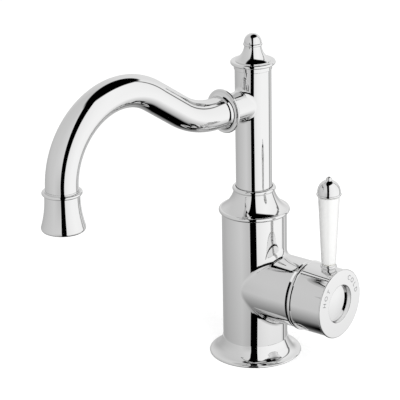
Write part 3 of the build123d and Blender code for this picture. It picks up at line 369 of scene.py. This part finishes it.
def pale_table():
    """White where nothing shades it, and hidden from the chrome, which sees the tent below it."""
    material = finish_of("pale_table", Base_Color=srgb("#F4F4F4"), Roughness=0.9)
    tree = material.node_tree
    seen = add(tree, "LightPath").outputs["Is Camera Ray"]
    lift = add(tree, "Math", {0: seen, 1: table_lift}, operation="MULTIPLY")
    glow = add(tree, "Emission", {"Color": (1, 1, 1, 1), "Strength": lift})
    both = add(tree, "AddShader", {0: tree.nodes["Principled BSDF"], 1: glow})
    tree.links.new(both.outputs[0], tree.nodes["Material Output"].inputs["Surface"])
    mesh = bpy.data.meshes.new("table")
    form = bmesh.new()
    bmesh.ops.create_grid(form, x_segments=2, y_segments=2, size=table_half)
    form.to_mesh(mesh)
    form.free()
    table = stage_piece("table", mesh, material)
    table.visible_glossy = False


def tent_cloth():
    """Lit cloth with a tall dark gap, a seam, and a dark opening overhead. It darkens toward the floor with
    painted ground shade, which stands in for the shaded table under the tap that the chrome would show.
    """
    material = bpy.data.materials.new("tent_cloth")
    material.use_nodes = True
    tree = material.node_tree
    tree.nodes.clear()
    place = add(tree, "TexCoord").outputs["Object"]
    across, away, height = add(tree, "SeparateXYZ", {0: place}).outputs
    near = add(tree, "Math", {0: away, 1: -1.0}, operation="MULTIPLY")
    bearing = add(tree, "Math", {0: across, 1: near}, operation="ARCTAN2")
    sine = add(tree, "Math", {0: height, 1: tent_radius}, operation="DIVIDE")
    rise = add(tree, "Math", {0: sine}, operation="ARCSINE")

    # Cloth round the tent, low and high, and the painted ground shade below it
    levels = []
    round_about, up_down = 180, 90
    ramps = [(bearing, round_about, low_levels), (bearing, round_about, high_levels),
             (rise, up_down, ground_shade_levels)]
    for turn, span, stops in ramps:
        part = add(tree, "MapRange", {"Value": turn, "From Min": -radians(span), "From Max": radians(span)})
        node = add(tree, "ValToRGB", {"Fac": part})
        while len(node.color_ramp.elements) < len(stops):
            node.color_ramp.elements.new(0.5)
        for element, (degrees, level) in zip(node.color_ramp.elements, stops):
            element.position = (degrees + span) / (2 * span)
            element.color = (level, level, level, 1)
        levels.append(node.outputs["Color"])
    low_cloth, high_cloth, ground_shade = levels
    change_low, change_high = cloth_change
    lifted = add(tree, "MapRange", {"Value": rise, "From Min": change_low, "From Max": change_high},
                 interpolation_type="SMOOTHSTEP")
    cloth = add(tree, "Mix", {"Factor": lifted, "A": low_cloth, "B": high_cloth}, data_type="RGBA")

    # Gap that the camera looks through
    off = add(tree, "Math", {0: across, 1: gap_middle}, operation="SUBTRACT")
    off = add(tree, "Math", {0: off}, operation="ABSOLUTE")
    wide = add(tree, "MapRange", {"Value": off, "From Min": gap_half, "From Max": gap_half + gap_soft,
                                  "To Min": 1.0, "To Max": 0.0}, interpolation_type="SMOOTHSTEP")
    ahead = add(tree, "MapRange", {"Value": near, "From Min": -gap_ends, "From Max": gap_ends})
    gap = add(tree, "Math", {0: wide, 1: ahead}, operation="MULTIPLY")

    # Seam at the right
    turn = add(tree, "Math", {0: bearing, 1: seam_bearing}, operation="SUBTRACT")
    turn = add(tree, "Math", {0: turn}, operation="ABSOLUTE")
    seam = add(tree, "MapRange", {"Value": turn, "From Min": seam_half, "From Max": seam_fade,
                                  "To Min": seam_depth, "To Max": 0.0}, interpolation_type="SMOOTHSTEP")

    # Dark opening overhead, as it lies in plan for each metre of height
    per_metre = add(tree, "Math", {0: 1.0, 1: height}, operation="DIVIDE")
    plan = add(tree, "VectorMath", {0: place, "Scale": per_metre}, operation="SCALE")
    centred = add(tree, "Mapping", {"Vector": plan, "Location": (opening_x, opening_y, 1),
                                    "Rotation": (0, 0, opening_turn),
                                    "Scale": (opening_long, opening_short, 1)}, vector_type="TEXTURE")
    reach = add(tree, "VectorMath", {0: centred}, operation="LENGTH").outputs["Value"]
    hole = add(tree, "MapRange", {"Value": reach, "From Min": 1 - opening_fade,
                                  "From Max": 1 + opening_fade, "To Min": 1.0, "To Max": 0.0},
               interpolation_type="SMOOTHSTEP")
    above = add(tree, "Math", {0: height, 1: 0.0}, operation="GREATER_THAN")
    hole = add(tree, "Math", {0: hole, 1: above}, operation="MULTIPLY")

    dark = add(tree, "Math", {0: gap, 1: hole}, operation="MAXIMUM")
    dark = add(tree, "Math", {0: dark, 1: seam}, operation="MAXIMUM")
    lit = add(tree, "Math", {0: 1.0, 1: dark}, operation="SUBTRACT")
    shown = add(tree, "Math", {0: cloth.outputs["Result"], 1: lit}, operation="MULTIPLY")
    # painted ground shade darkens the cloth below the table
    shown = add(tree, "Math", {0: shown, 1: ground_shade}, operation="MULTIPLY")
    glow = add(tree, "Emission", {"Strength": shown})
    add(tree, "OutputMaterial", {"Surface": glow})
    material.cycles.emission_sampling = "NONE"
    return material


def light_tent():
    """White cloth tent round the tap, seen by mirror reflections only."""
    mesh = bpy.data.meshes.new("tent")
    form = bmesh.new()
    bmesh.ops.create_uvsphere(form, u_segments=128, v_segments=64, radius=tent_radius)
    form.to_mesh(mesh)
    form.free()
    tent = stage_piece("tent", mesh, tent_cloth())
    tent.rotation_euler = (0, 0, heading)
    tent.location = tent_middle
    for kind in ("camera", "diffuse", "shadow", "transmission", "volume_scatter"):
        setattr(tent, "visible_" + kind, False)


def soft_window(name, place, size, power):
    """A square of soft light that points at the tap, and that the chrome doesn't show."""
    lamp = bpy.data.lights.new(name, "AREA")
    lamp.size, lamp.energy = size, power
    holder = bpy.data.objects.new(name, lamp)
    holder.location = place
    holder.rotation_euler = (target - Vector(place)).to_track_quat("-Z", "Y").to_euler()
    bpy.context.scene.collection.objects.link(holder)
    holder.visible_glossy = False


def pale_room():
    """Even room light, and white to the camera."""
    world = bpy.data.worlds.new("pale_room")
    world.use_nodes = True
    bpy.context.scene.world = world
    tree = world.node_tree
    seen = add(tree, "LightPath").outputs["Is Camera Ray"]
    strength = add(tree, "MapRange", {"Value": seen, "To Min": room_level, "To Max": 1.0})
    tree.nodes["Background"].inputs["Color"].default_value = (1, 1, 1, 1)
    tree.links.new(strength.outputs["Result"], tree.nodes["Background"].inputs["Strength"])


pale_table()
light_tent()
pale_room()
soft_window("right_window", (1.0, -0.44, 0.8), 0.8, 8.0)
